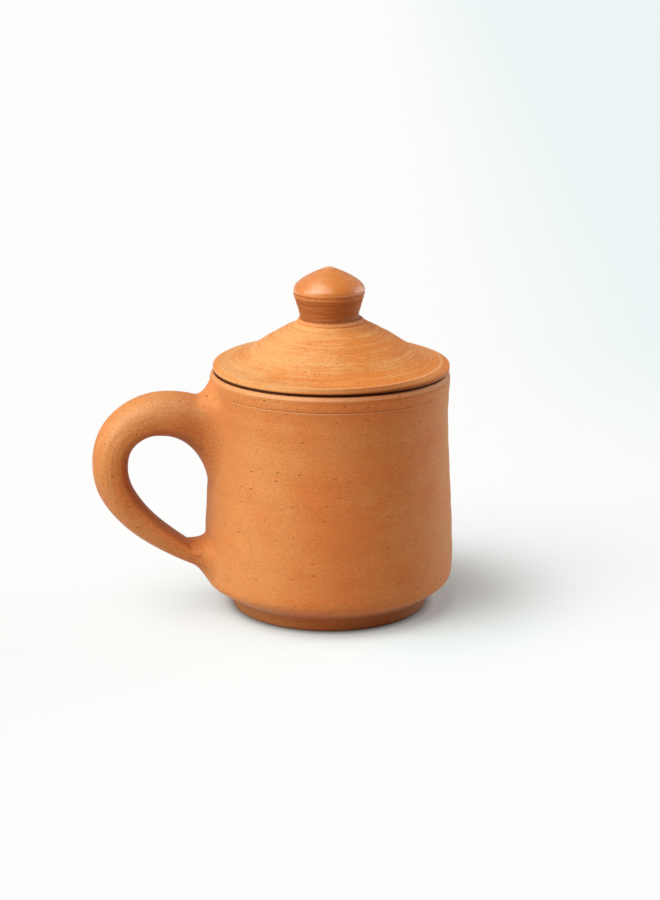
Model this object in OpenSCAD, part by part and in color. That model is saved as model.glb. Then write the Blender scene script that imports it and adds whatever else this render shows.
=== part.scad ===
// Lidded clay mug: a thrown cup on a turned foot, a pulled handle luted to its wall,
// and a thrown lid that drops into the mouth, with a knob luted to its crown.
// Millimetres. +Z is up and Z is the axis of the cup and lid. The foot stands on Z = 0.
// The handle points along -X.

/* [Cup] */
// Height of the rim's crown above the table
cup_h = 85; // [78:0.5:100]
// Outside radius of the band below the lip
rim_r = 41.5; // [40:0.1:46]
// Outside radius of the wall at its waist, below the band
waist_r = 41; // [39:0.1:44]
// Outside radius of the wall just above the bevel
belly_r = 43.4; // [42:0.1:47]
// Wall thickness at the mouth
wall_t = 4.6; // [3.5:0.1:6]
// Wall thickness at the waist
waist_wall_t = 4.1; // [3.3:0.1:6]
// Wall thickness just above the bevel
belly_wall_t = 5.4; // [4.5:0.1:7]
// Thickness of the floor above the foot's recess
floor_t = 5.5; // [4.5:0.1:8]
// Radius between the floor and the wall inside
floor_round = 10; // [5:0.5:14]

/* [Rim] */
// Height of the rounded lip
lip_h = 1.9; // [1.4:0.1:2.6]
// How far the lip stands proud of the band
lip_proud = 0.1; // [0.1:0.05:0.5]
// Width of the flat crown that the lid sits on
crown_flat = 1.4; // [1:0.1:2]
// Height of the lip's outer slope, from its arris to the crown
lip_slope_h = 1; // [0.6:0.1:1.2]
// Distance from the crown down to the incised line
band_h = 5.9; // [4:0.1:9]
// Width of the incised line
line_w = 0.9; // [0.5:0.1:1.5]
// Depth of the incised line
line_d = 0.4; // [0.2:0.05:0.8]

/* [Foot] */
// Outside radius of the foot where it stands
foot_r = 33.4; // [28:0.1:36]
// How much wider the foot is at its top
foot_flare = 1; // [0:0.1:3]
// Height of the foot
foot_h = 4.2; // [3:0.1:7]
// Width of the ring that stands on the table
foot_ring_w = 7.5; // [5:0.5:12]
// Depth of the hollow turned out under the foot
foot_recess = 2; // [1:0.1:3]
// Rounding of the foot's lower edges
foot_round = 0.7; // [0.3:0.1:1.2]
// Height of the bevel between the foot and the wall
bevel_h = 6.4; // [5:0.1:9]
// Rounding between the bevel and the wall
bevel_round = 3.5; // [2:0.5:6]

/* [Handle] */
// Distance from the rim's crown down to the handle's centreline where it leaves the wall
handle_drop = 19.2; // [18.5:0.1:25]
// Height of the centreline above the bevel where its tail meets the wall
handle_low_rise = 6.7; // [5:0.1:13]
// How far the crest of the centreline lies above its upper end
handle_crest_rise = 5.7; // [2:0.1:8]
// Distance from the waist to the crest
handle_crest_out = 18.7; // [15:0.1:22]
// Distance from the belly to the centreline where it stands furthest out
handle_reach = 33.5; // [28:0.5:40]
// How far below the upper end the handle stands furthest out
handle_reach_drop = 11.3; // [8:0.1:18]
// Thickness of the handle at its upper end, seen from the side
handle_top_t = 18.7; // [15:0.1:20]
// Thickness of the handle halfway along
handle_mid_t = 12; // [9:0.1:14]
// Thickness of the handle at its tail
handle_tail_t = 4.3; // [4:0.1:8]
// Width of the handle at its upper end, seen from outside
handle_top_w = 19; // [15:0.1:23]
// Width of the handle at its tail
handle_tail_w = 13; // [10:0.1:16]
// How far the smeared clay of the upper joint spreads up the wall
top_smear_up = 7.8; // [3:0.1:8]
// How far it spreads sideways round the wall
top_smear_side = 6; // [3:0.1:8]
// How far it spreads down the wall
top_smear_down = 17.6; // [8:0.1:20]
// How far the smeared clay of the lower joint spreads up the wall
low_smear_up = 7.4; // [3:0.1:9]
// How far it spreads sideways round the wall
low_smear_side = 5; // [2:0.1:8]
// How far it spreads down the wall
low_smear_down = 4.2; // [2:0.1:5]

/* [Lid] */
// Outside radius of the lid
lid_r = 41; // [40:0.1:46]
// Height of the lid's upright edge
lid_edge_h = 0.8; // [0.5:0.1:2]
// Width of the slope between the edge and the arris of the brim
brim_slope_w = 3.4; // [2:0.1:5]
// Height of that slope
brim_slope_h = 1.15; // [0.6:0.05:2]
// Width of the hollow sweep from the arris to the straight cone
brim_sweep_w = 8.2; // [5:0.1:11]
// Angle of the cone above the level
cone_angle = 32; // [28:0.1:34]
// Height of the lid's crown above the arris
lid_rise = 13.85; // [13:0.05:16]
// How far the lid's flat crown shows round the knob
lid_crown_edge = 0.4; // [0.2:0.1:2]
// Thickness of the lid
lid_t = 4.6; // [3.5:0.1:5.5]
// Depth of the locating flange below the lid's seat
flange_depth = 7; // [4:0.5:12]
// Thickness of the locating flange
flange_t = 3.2; // [2.4:0.1:4]
// Clearance between the flange and the mouth, on the radius
flange_clearance = 0.8; // [0.4:0.1:1.5]
// Gap between the rim's crown and the lid's seat
seat_gap = 0.25; // [0.1:0.05:0.5]

/* [Knob] */
// Radius of the knob's neck
neck_r = 10.1; // [8:0.1:11.4]
// Height at which the neck starts to widen, above its seat
neck_h = 3; // [2:0.1:4]
// Width of the bead of slip round the foot of the neck
bead_w = 1.4; // [0.8:0.1:2]
// Height of that bead
bead_h = 1.3; // [0.8:0.1:1.8]
// Radius of the knob where it is widest
knob_r = 12.2; // [11.4:0.1:15]
// Height of the knob's lower flank, above its seat
knob_flank_h = 9.9; // [8:0.1:12]
// Height of the widest band of the knob
knob_band_h = 2.9; // [2.5:0.1:5]
// Angle of the knob's top above the level
knob_top_angle = 30.5; // [22:0.1:36]
// Rounding of the knob's tip
knob_tip_round = 6.5; // [3:0.1:8]

/* [Hidden] */
$fn = 128;

arc_steps = 8;
curve_steps = 10;
rings_up = 12;
rings_over = 14;
rings_down = 26;
ring_sides = 24;

clay = "#cd7d48";
lid_clay = "#d58a52";

// Heights and radii that the pieces share
foot_top_r = foot_r + foot_flare;
bevel_top_z = foot_h + bevel_h;
floor_z = foot_recess + floor_t;
line_z = cup_h - band_h;
mouth_r = rim_r - wall_t;
waist_in_r = waist_r - waist_wall_t;
belly_in_r = belly_r - belly_wall_t;
seat_z = cup_h + seat_gap;
arris_r = lid_r - brim_slope_w;
arris_z = seat_z + lid_edge_h + brim_slope_h;
lid_crown_z = arris_z + lid_rise;
flange_r = mouth_r - flange_clearance;
flange_in_r = flange_r - flange_t;
// The mouth runs straight down to just below the lid's flange
mouth_low_z = seat_z - flange_depth - flange_clearance;
bead_r = neck_r + bead_w;
lid_crown_r = bead_r + lid_crown_edge;
handle_top_z = cup_h - handle_drop;
handle_low_z = bevel_top_z + handle_low_rise;

// Straight lower stretch of the wall, above which it draws in to the waist
upright_h = 8;
// Distance of the waist below the incised line
waist_drop = 9;
// Roundings of the cup: foot to bevel, lip, crown, hollow of the foot, and the long blends of its inside
foot_fillet = 0.6;
lip_round = 0.4;
crown_round = 1.5;
recess_round = 1.5;
waist_blend = 20;
wall_blend = 8;
// Roundings of the lid: crown, edge, underside of the edge, flange, and its hollow at the flange and top
lid_crown_round = 0.8;
lid_edge_round = 0.6;
lid_seat_round = 0.3;
flange_round = 1;
flange_blend = 3;
lid_top_blend = 4;
// How far the lid's edge draws in towards its seat
lid_edge_draft = 0.1;
// Roundings of the knob: bead, crease above it, neck, flank and shoulder
bead_round = 0.9;
bead_crease = 0.3;
neck_round = 3;
flank_round = 2;
shoulder_round = 3;

// Thickness of the lid measured straight down through the cone
lid_drop = lid_t / cos(cone_angle);
// How deep the handle's section is carried behind the face of the wall before it is trimmed to it
root_depth = 5;
// Slope of the handle's centreline where it leaves the wall, at the top and at the tail
top_slope = 0.24;
tail_slope = 0.49;
// How far the smeared clay runs out along the handle: on its outer side, its flanks and its inner side
top_runout = [8.3, 8, 10.2];
low_runout = [8.5, 6, 7.3];
// How far it spreads over the wall, in the same order
top_spread = [top_smear_up, top_smear_side, top_smear_down];
low_spread = [low_smear_down, low_smear_side, low_smear_up];
// How much further back the round wall lies at the handle's flanks than at its middle
top_sag = waist_r - sqrt(pow(waist_r, 2) - pow((handle_top_w + top_smear_side) / 2, 2));
low_sag = belly_r - sqrt(pow(belly_r, 2) - pow((handle_tail_w + low_smear_side) / 2, 2));

// Unit vector along v
function unit(v) = v / norm(v);

// Points of the arc about centre, from one angle to another
function arc(centre, r, from, to) =
    [for (i = [0:arc_steps]) let (a = from + (to - from) * i / arc_steps) centre + r * [cos(a), sin(a)]];

// Point of the cubic curve with control points p
function bezier(p, t) =
    pow(1 - t, 3) * p[0] + 3 * t * pow(1 - t, 2) * p[1] + 3 * t * t * (1 - t) * p[2] + pow(t, 3) * p[3];

// Direction of that curve
function bezier_way(p, t) =
    unit(pow(1 - t, 2) * (p[1] - p[0]) + 2 * t * (1 - t) * (p[2] - p[1]) + t * t * (p[3] - p[2]));

// Points along that curve
function curve(p, steps) = [for (i = [0:steps]) bezier(p, i / steps)];

// Arc that rounds the corner b between a and c. It uses up less than half of either side.
side_share = 0.49;
function rounding(a, b, c, r) =
    let (u = unit(a - b), v = unit(c - b), half = acos(u * v) / 2,
         reach = min(r / tan(half), side_share * norm(a - b), side_share * norm(c - b)),
         centre = b + unit(u + v) * reach / cos(half),
         p = b + u * reach - centre, q = b + v * reach - centre,
         start = atan2(p[1], p[0]), turn = (atan2(q[1], q[0]) - start + 540) % 360 - 180)
    arc(centre, norm(p), start, start + turn);

// Whether the way from a over b to c is straight, so that b needs no rounding
straight = 1e-6;
function is_straight(a, b, c) = norm(unit(a - b) + unit(c - b)) < straight;

// Closed outline through corners, each [radius from the axis, height, rounding]
function rounded(corners) =
    let (n = len(corners), at = [for (c = corners) [c[0], c[1]]])
    [for (i = [0:n - 1])
        let (a = at[(i + n - 1) % n], b = at[i], c = at[(i + 1) % n], r = corners[i][2])
        each r == 0 || is_straight(a, b, c) ? [b] : rounding(a, b, c, r)];

// Points as corners that stay sharp
function sharp(points) = [for (p = points) [p[0], p[1], 0]];

// Curve of the wall, from its upright stretch in to the waist. It leaves the one and reaches the other
// upright, over these shares of its height.
belly_pull = 0.4;
waist_pull = 0.2;
wall_foot_z = bevel_top_z + upright_h;
waist_z = line_z - waist_drop;
wall_curve = [
    [belly_r, wall_foot_z],
    [belly_r, wall_foot_z + belly_pull * (waist_z - wall_foot_z)],
    [waist_r, waist_z - waist_pull * (waist_z - wall_foot_z)],
    [waist_r, waist_z]
];

// Outside of the cup from the foot to the crown
cup_outside = concat(
    [[foot_r, 0, foot_round], [foot_top_r, foot_h, foot_fillet], [belly_r, bevel_top_z, bevel_round]],
    sharp(curve(wall_curve, curve_steps)),
    [
        [rim_r - line_d / 2, line_z - line_w / 2, 0],
        [rim_r - line_d, line_z, 0],
        [rim_r, line_z + line_w / 2, 0],
        [rim_r, cup_h - lip_h, 0],
        [rim_r + lip_proud, cup_h - lip_h + lip_proud, 0],
        [rim_r + lip_proud, cup_h - lip_slope_h, lip_round],
        [mouth_r + lip_slope_h + crown_flat, cup_h, crown_round]
    ]
);

// Inside of the cup from the crown to the middle of the floor
cup_inside = [
    [mouth_r, cup_h, lip_slope_h],
    [mouth_r, mouth_low_z, 0],
    [waist_in_r, waist_z, waist_blend],
    [belly_in_r, wall_foot_z, wall_blend],
    [belly_in_r, floor_z, floor_round],
    [0, floor_z, 0]
];

// Hollow under the foot, from the middle outwards
foot_hollow = [
    [0, foot_recess, 0],
    [foot_r - foot_ring_w - foot_recess, foot_recess, recess_round],
    [foot_r - foot_ring_w, 0, foot_round]
];

// Solid turned from an outline
module turned(outline) {
    rotate_extrude() polygon(outline);
}

// The cup's outer form, without its hollows
module cup_filled() {
    turned(rounded(concat([[0, 0, 0]], cup_outside, [[0, cup_h, 0]])));
}

module mug_body() {
    color(clay) turned(rounded(concat(foot_hollow, cup_outside, cup_inside)));
}

// Centreline of the handle in its own plane, as [distance from the axis, height]:
// up out of the wall to the crest, over to where it stands furthest out, and down to the tail
root_top = [waist_r, handle_top_z] - root_depth * [1, top_slope];
crest = [waist_r + handle_crest_out, handle_top_z + handle_crest_rise];
outmost = [belly_r + handle_reach, handle_top_z - handle_reach_drop];
root_low = [belly_r, handle_low_z] - root_depth * [1, tail_slope];

// Shares of each span that the curve runs straight on before it turns: along the level, over the top
// and down the outside
level_pull = 0.42;
over_pull = 0.72;
down_pull = 0.46;
handle_up = [
    root_top,
    root_top + level_pull * (crest[0] - root_top[0]) * [1, top_slope],
    crest - level_pull * [crest[0] - root_top[0], 0],
    crest
];
handle_over = [
    crest,
    crest + level_pull * [outmost[0] - crest[0], 0],
    outmost + over_pull * [0, crest[1] - outmost[1]],
    outmost
];
handle_down = [
    outmost,
    outmost - down_pull * [0, outmost[1] - root_low[1]],
    root_low + level_pull * (outmost[0] - root_low[0]) * [1, tail_slope],
    root_low
];

// Sections of the handle, each [centre, direction]
function stations(p, first, last, steps) =
    [for (i = [first:last]) [bezier(p, i / steps), bezier_way(p, i / steps)]];
sections = concat(
    stations(handle_up, 0, rings_up - 1, rings_up),
    stations(handle_over, 0, rings_over - 1, rings_over),
    stations(handle_down, 0, rings_down, rings_down)
);
last_section = len(sections) - 1;

// Thickness at a share of the way from the upper end to the tail. It eases out of its middle value.
top_ease = 1.3;
tail_ease = 1.6;
function handle_t(share) =
    share < 0.5
        ? handle_mid_t + (handle_top_t - handle_mid_t) * pow(1 - 2 * share, top_ease)
        : handle_mid_t - (handle_mid_t - handle_tail_t) * pow(2 * share - 1, tail_ease);

// Width at a share of the way
function handle_w(share) = handle_top_w + (handle_tail_w - handle_top_w) * share;

// Value of a list given for [outer side, flank, inner side] at angle a round the section
function around(list, a) =
    list[1] * pow(sin(a), 2) + (cos(a) > 0 ? list[0] : list[2]) * pow(cos(a), 2);

// Spread of the smeared clay at a distance d in front of the wall: it feathers out along the handle
smear_ease = 2.5;
function smear(spread, runout, d) = spread * pow(1 - min(1, max(0, d / runout)), smear_ease);

// Points of section i of the handle. The outer side of the section faces up at the upper end and
// down at the tail, and the smeared clay moves each point along the wall.
function section(i) =
    let (upper = i < last_section / 2, share = i / last_section,
         c = sections[i][0], way = sections[i][1], outward = [-way[1], way[0]],
         wall = upper ? waist_r : belly_r, sag = upper ? top_sag : low_sag,
         spread = upper ? top_spread : low_spread, runout = upper ? top_runout : low_runout)
    [for (k = [0:ring_sides - 1])
        let (a = 360 * k / ring_sides,
             p = c + outward * handle_t(share) / 2 * cos(a),
             extra = smear(around(spread, a), around(runout, a), p[0] - wall + sag * pow(sin(a), 2)))
        [-p[0], (handle_w(share) / 2 + extra) * sin(a), p[1] + (upper ? extra : -extra) * cos(a)]];

// Solid skin over rings of points: quads along the length and flat ends
module loft(rings) {
    n = len(rings);
    m = len(rings[0]);
    polyhedron(
        points = [for (r = rings) each r],
        faces = concat(
            [[for (k = [0:m - 1]) k]],
            [for (i = [0:n - 2], k = [0:m - 1])
                let (a = i * m + k, b = i * m + (k + 1) % m)
                each [[a, a + m, b], [b, a + m, b + m]]],
            [[for (k = [m - 1:-1:0]) (n - 1) * m + k]]
        )
    );
}

module handle() {
    color(clay) difference() {
        loft([for (i = [0:last_section]) section(i)]);
        cup_filled();
    }
}

// Height of the straight cone's surface at a distance r from the axis
function cone_z(r) = lid_crown_z - (r - lid_crown_r) * tan(cone_angle);

// Hollow sweep from the straight cone out to the arris of the brim
sweep_pull = 0.36;
brim_slope = 0.1;
cone_foot_r = arris_r - brim_sweep_w;
cone_pull_r = cone_foot_r + sweep_pull * brim_sweep_w;
brim_curve = [
    [cone_foot_r, cone_z(cone_foot_r)],
    [cone_pull_r, cone_z(cone_pull_r)],
    [arris_r, arris_z] + sweep_pull * brim_sweep_w * [-1, brim_slope],
    [arris_r, arris_z]
];

module lid() {
    hollow_r = lid_crown_r - lid_crown_edge;
    hollow_z = cone_z(hollow_r) - lid_drop;
    color(lid_clay) turned(rounded(concat(
        [[0, lid_crown_z, 0], [lid_crown_r, lid_crown_z, lid_crown_round]],
        sharp(curve(brim_curve, curve_steps)),
        [
            [lid_r, seat_z + lid_edge_h, lid_edge_round],
            [lid_r - lid_edge_draft, seat_z, lid_seat_round],
            [flange_r, seat_z, 0],
            [flange_r, seat_z - flange_depth, flange_round],
            [flange_in_r, seat_z - flange_depth, flange_round],
            [flange_in_r, cone_z(flange_in_r) - lid_drop, flange_blend],
            [hollow_r, hollow_z, lid_top_blend],
            [0, hollow_z, 0]
        ]
    )));
}

module lid_knob() {
    bead_top_z = lid_crown_z + bead_h;
    band_z = lid_crown_z + knob_flank_h;
    shoulder_z = band_z + knob_band_h;
    apex_z = shoulder_z + knob_r * tan(knob_top_angle);
    tip_centre = [0, apex_z - knob_tip_round / cos(knob_top_angle)];
    color(lid_clay) turned(rounded(concat(
        [
            [0, lid_crown_z, 0],
            [bead_r, lid_crown_z, 0],
            [bead_r, bead_top_z, bead_round],
            [neck_r, bead_top_z, bead_crease],
            [neck_r, lid_crown_z + neck_h, neck_round],
            [knob_r, band_z, flank_round],
            [knob_r, shoulder_z, shoulder_round]
        ],
        sharp(arc(tip_centre, knob_tip_round, 90 - knob_top_angle, 90))
    )));
}

mug_body();
handle();
lid();
lid_knob();
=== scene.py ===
# %% [markdown]
# # Dressing a lidded clay mug
# The CAD model holds the mug's four pieces at their real size: the thrown cup, its pulled handle, the lid
# and the lid's knob. This lesson gives each piece the surface that a potter leaves on it: turning lines, a
# slightly uneven hand, smeared joints and a matt, grainy, fired finish. The frame is loaded first, because
# every new surface takes its place and its size from it.

# %% Load the frame
import math

import bpy
import numpy as np
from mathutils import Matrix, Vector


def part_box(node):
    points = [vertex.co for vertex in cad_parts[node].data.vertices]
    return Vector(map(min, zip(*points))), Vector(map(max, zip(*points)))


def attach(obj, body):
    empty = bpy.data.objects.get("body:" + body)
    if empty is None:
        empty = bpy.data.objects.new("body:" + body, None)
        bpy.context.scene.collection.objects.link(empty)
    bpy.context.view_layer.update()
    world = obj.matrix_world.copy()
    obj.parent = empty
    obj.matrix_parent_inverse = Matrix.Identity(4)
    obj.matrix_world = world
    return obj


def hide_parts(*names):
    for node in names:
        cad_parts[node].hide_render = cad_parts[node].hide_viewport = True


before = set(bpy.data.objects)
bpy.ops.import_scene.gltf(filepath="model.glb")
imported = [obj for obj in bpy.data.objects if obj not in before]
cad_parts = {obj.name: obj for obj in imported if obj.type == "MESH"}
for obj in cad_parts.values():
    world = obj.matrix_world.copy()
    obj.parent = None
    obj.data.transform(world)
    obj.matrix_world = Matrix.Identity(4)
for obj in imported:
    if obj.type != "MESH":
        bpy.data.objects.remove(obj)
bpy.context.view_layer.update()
scene = bpy.context.scene
MM = 0.001

# %% [markdown]
# The driving sizes of the frame, in millimetres. A box gives the lowest and highest corner of a CAD node,
# so the radius of a turned node is how far its box reaches along Y. Shapes are worked out in millimetres
# and become metres when their mesh is made.

# %% Sizes of the frame
def top_of(node):
    """Height of a CAD node's highest point, in millimetres."""
    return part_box(node)[1].z / MM


def radius_of(node):
    """Largest radius of a turned CAD node, in millimetres."""
    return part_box(node)[1].y / MM


cup_h = top_of("mug_body")
belly_r = radius_of("mug_body")
lid_r = radius_of("lid")
lid_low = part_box("lid")[0].z / MM
crown_z = top_of("lid")
knob_r = radius_of("lid_knob")
knob_top = top_of("lid_knob")
print(f"cup {cup_h:.2f} high, belly radius {belly_r:.2f}, lid radius {lid_r:.2f}, crown at {crown_z:.2f}")

# %% [markdown]
# The camera stands a little to the handle's side of the front and looks down at the mug from arm's length.
# Its directions are named here, because the mug leans a little to the right of the picture and is lit from
# the left of it.

# %% Camera
CAMERA_TURN = math.radians(-12.0)
CAMERA_TILT = math.radians(16.1)
CAMERA_AWAY = 900.0
AIM = np.array([0.2, 0.0, 54.8])
to_right = np.array([math.cos(CAMERA_TURN), math.sin(CAMERA_TURN), 0.0])
to_front = np.array([math.sin(CAMERA_TURN), -math.cos(CAMERA_TURN), 0.0])
to_camera = math.cos(CAMERA_TILT) * to_front + math.sin(CAMERA_TILT) * np.array([0.0, 0.0, 1.0])
# Turn round the mug's axis that points to the right of the picture
right_turn = CAMERA_TURN

camera_data = bpy.data.cameras.new("camera")
camera_data.lens = 103.5
camera_data.sensor_width = 36.0
camera = bpy.data.objects.new("camera", camera_data)
camera.location = (AIM + CAMERA_AWAY * to_camera) * MM
camera.rotation_euler = (math.pi / 2 - CAMERA_TILT, 0.0, CAMERA_TURN)
scene.collection.objects.link(camera)
scene.camera = camera
print("camera at", [round(x, 3) for x in camera.location])

# %% [markdown]
# ## One way to make every piece
# A turned pot is a profile carried round an axis, and a pulled handle is a section carried along a path.
# Both are rows of rings, so one helper skins them all. Blender's Screw modifier and a bevelled curve could
# do it too, but on a grid of points the hand's unevenness is a formula of two parameters.

# %% Skin over rings
def closed_skin(name, rings, marks, poles=None):
    """Mesh object over rings, an array of rows, columns and x, y, z in millimetres. Quads join each row to
    the next, rows close on themselves, and fans of triangles close the ends at two poles, by default the
    middles of the end rings. Faces are turned outwards, by the sign of the volume: the sum of a . (b x c)
    over all triangles. marks maps names of attributes to values per ring point."""
    rows, columns = rings.shape[:2]
    here = np.arange(rows * columns).reshape(rows, columns)
    beside = np.roll(here, -1, axis=1)
    quads = np.stack([here[:-1], beside[:-1], beside[1:], here[1:]], axis=-1).reshape(-1, 4)
    start = np.stack([beside[0], here[0], np.full(columns, here.size)], axis=-1)
    end = np.stack([here[-1], beside[-1], np.full(columns, here.size + 1)], axis=-1)
    poles = poles or [rings[0].mean(axis=0), rings[-1].mean(axis=0)]
    points = np.concatenate([rings.reshape(-1, 3), poles]) * MM
    triangles = np.concatenate([quads[:, [0, 1, 2]], quads[:, [0, 2, 3]], start, end])
    a, b, c = (points[triangles[:, k]] for k in range(3))
    turn = 1 if (a * np.cross(b, c)).sum() > 0 else -1
    faces = quads[:, ::turn].tolist() + start[:, ::turn].tolist() + end[:, ::turn].tolist()
    mesh = bpy.data.meshes.new(name)
    mesh.from_pydata(points, [], faces)
    for mark, values in marks.items():
        ends = np.stack([values[0].mean(axis=0), values[-1].mean(axis=0)])
        flat = np.concatenate([values.reshape(here.size, -1), ends.reshape(2, -1)])
        kind, field = ("FLOAT_VECTOR", "vector") if values.ndim == 3 else ("FLOAT", "value")
        mesh.attributes.new(mark, kind, "POINT").data.foreach_set(field, flat.astype(np.float32).ravel())
    mesh.shade_smooth()
    piece = bpy.data.objects.new(name, mesh)
    scene.collection.objects.link(piece)
    print(f"{name}: {rows} rings of {columns}, {len(triangles)} triangles")
    return piece


print("skin helpers ready")

# %% [markdown]
# ## Turned profiles
# A potter's profile has few corners, each more or less rounded by the sponge. So an outline is a short list
# of corners, and a curve eases each of them. The rows of the mesh are then spread along the outline, evenly
# or closer together where the detail is fine.

# %% Outlines
# Radius of the ring next to a pole
AXIS_R = 0.01


def soft_outline(corners, steps=8):
    """Outline through corners given as (radius, height, ease). Each corner is left and joined again at its
    ease, or at half of its shorter side, by a parabola: (1-t)^2 a + 2 t (1-t) b + t^2 c."""
    corners = np.array(corners, float)
    at, softness = corners[:, :2], corners[:, 2]
    sides = np.linalg.norm(np.diff(at, axis=0), axis=1)
    room = 0.5 * np.minimum(np.append(sides, 0.0), np.insert(sides, 0, 0.0))
    reach = np.minimum(softness, room)[:, None]
    lengths = np.maximum(sides, 1e-9)[:, None]
    ahead = np.vstack([np.diff(at, axis=0) / lengths, np.zeros((1, 2))])
    behind = np.vstack([np.zeros((1, 2)), -np.diff(at, axis=0) / lengths])
    t = np.linspace(0.0, 1.0, steps)[:, None, None]
    a, c = at + reach * behind, at + reach * ahead
    curve = (1 - t) ** 2 * a + 2 * t * (1 - t) * at + t ** 2 * c
    points = curve.transpose(1, 0, 2).reshape(-1, 2)
    moved = np.linalg.norm(np.diff(points, axis=0), axis=1) > 1e-7
    return points[np.insert(moved, 0, True)]


def spread(outline, count, density=1.0):
    """The outline again, as count points. Their steps are even, or shorter where density, one value for
    each point of the outline, is higher."""
    weight = np.broadcast_to(density, (len(outline),))
    steps = np.linalg.norm(np.diff(outline, axis=0), axis=1) * 0.5 * (weight[1:] + weight[:-1])
    share = np.insert(np.cumsum(steps), 0, 0.0)
    even = np.linspace(0.0, share[-1], count)
    return np.stack([np.interp(even, share, outline[:, k]) for k in range(2)], axis=1)


def bezier(points, t):
    """Cubic curve: four control points weighted by (1-t)^3, 3t(1-t)^2, 3t^2(1-t) and t^3. The points may be
    whole arrays, and the curve's steps become the first axis."""
    t = np.asarray(t, float)
    weights = np.stack([(1 - t) ** 3, 3 * t * (1 - t) ** 2, 3 * t ** 2 * (1 - t), t ** 3], axis=1)
    return np.tensordot(weights, np.stack(points), axes=1)


print("outline helpers ready")

# %% [markdown]
# The wheel and the fingers leave ridges that climb the pot as shallow spirals. A sum of waves along the
# profile gives them: a wave that gains a whole number of turns on its way round still meets itself at the
# seam.

# %% The hand on the wheel
def turned(outline, columns, waves, strength):
    """Rings of a turned piece: the outline carried round Z, moved in and out by throwing ridges times
    strength, one value for each point of the outline. The ridges are the sum of height * sin(2 pi along /
    spacing + turns * turn + phase) over waves given as (spacing, height, turns, phase). Returns the rings'
    radius, turn and height, and the length along the outline, each as rows by columns."""
    length = np.insert(np.cumsum(np.linalg.norm(np.diff(outline, axis=0), axis=1)), 0, 0.0)
    turn = np.linspace(0.0, 2 * np.pi, columns, endpoint=False)[None, :]
    along = length[:, None] + 0.0 * turn
    way = np.gradient(outline, axis=0)
    way /= np.maximum(np.linalg.norm(way, axis=1, keepdims=True), 1e-9)
    lift = sum(h * np.sin(2 * np.pi * along / gap + k * turn + p) for gap, h, k, p in waves)
    lift = lift * strength[:, None]
    radius = outline[:, :1] + lift * way[:, 1:]
    height = outline[:, 1:] - lift * way[:, :1]
    return radius, turn + 0.0 * along, height, along


def placed(radius, turn, height, aside):
    """Rings as x, y and z, about a middle that stands aside millimetres to the right of the picture."""
    x = aside * to_right[0] + radius * np.cos(turn)
    y = aside * to_right[1] + radius * np.sin(turn)
    return np.stack([x, y, height], axis=-1)


def ring_lay(rings, along, slow):
    """Places for the streaks of a turned piece: x and y times slow, and the length along the outline."""
    return np.stack([rings[..., 0] * slow, rings[..., 1] * slow, along], axis=-1)


def turn_from(turn, start):
    """Turn round the axis, counted from start and kept between minus and plus half a turn."""
    return np.angle(np.exp(1j * (turn - start)))


def hump(x, middle, width):
    """Bell curve of height 1 about middle."""
    return np.exp(-((x - middle) / width) ** 2)


def ramp(x, low, high):
    """Straight step from 0 at low to 1 at high."""
    return np.clip((x - low) / (high - low), 0, 1)


def ease(x, low, high):
    """Soft step from 0 at low to 1 at high: 3 t^2 - 2 t^3, where t is the straight step."""
    t = ramp(x, low, high)
    return t * t * (3 - 2 * t)


print("wheel helpers ready")

# %% [markdown]
# ## The thrown cup
# From below upwards: the hollow under the foot, the turned foot, the bevel, the wall that draws in to a
# waist, an incised line, the band above it and the lip. A narrow slot behind the lip makes the dark gap
# under the lid, which sits just above the ledge inside the slot. The inside is smooth.

# %% Cup outline
foot_r, foot_in_r, foot_h = 33.9, 30.0, 4.5
hollow_h = 2.0
bevel_top = 10.3
waist_r, waist_z = 41.0, 70.1
wall_foot_z = 18.6
band_r = 41.35
line_z = 79.1
rim_h = cup_h - 0.2
lip_z = 82.7
slot_r, slot_z = 40.3, rim_h - 1.9
ledge_r = 37.3
mouth_r = 36.9
inside_r, inside_z = 38.0, 7.5
RIM_FROM, FOOT_TO = 77.0, 12.0

wall_pulls = [[belly_r, wall_foot_z], [belly_r - 0.3, 36.5], [waist_r, 59.8], [waist_r, waist_z]]
wall = bezier(wall_pulls, np.linspace(0, 1, 40))
under_corners = [(AXIS_R, hollow_h, 0), (23.7, hollow_h, 1.5), (25.7, 0.0, 0.7), (foot_in_r, 0.0, 0)]
foot_corners = [(foot_in_r, 0, 0), (foot_r, 0, 0.9), (foot_r + 0.9, foot_h, 0.5), (belly_r, bevel_top, 2.4)]
wall_corners = [(r, z, 0) for r, z in wall]
rim_corners = [
    (41.1, 77.6, 1.0),
    (41.2, line_z - 0.42, 0.1),
    (41.28, line_z - 0.22, 0.1),
    (40.98, line_z, 0.06),
    (band_r - 0.1, line_z + 0.2, 0.1),
    (band_r, line_z + 1.2, 0.8),
    (band_r, lip_z - 0.15, 0.1),
    (band_r - 0.2, lip_z, 0.06),
    (band_r - 0.05, lip_z + 0.25, 0.15),
    (slot_r + 0.05, rim_h - 0.35, 0.3),
    (slot_r - 0.25, rim_h - 0.5, 0.2),
    (39.2, slot_z, 0.4),
    (37.9, slot_z, 0.3),
    (37.6, rim_h, 0.3),
    (ledge_r, rim_h, 0.1),
]
inside_corners = [
    (ledge_r, rim_h, 0),
    (mouth_r, rim_h - 1.0, 0.8),
    (mouth_r, waist_z, 14),
    (inside_r, wall_foot_z, 6),
    (inside_r, inside_z, 10),
    (AXIS_R, inside_z, 0),
]
cup_under = spread(soft_outline(under_corners), 26)
outside = soft_outline(foot_corners + wall_corners + rim_corners)
close = 1.0 + 5.0 * (outside[:, 1] > RIM_FROM) + 2.0 * (outside[:, 1] < FOOT_TO)
cup_outside = spread(outside, 268, close)
cup_inside = spread(soft_outline(inside_corners), 56)
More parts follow.
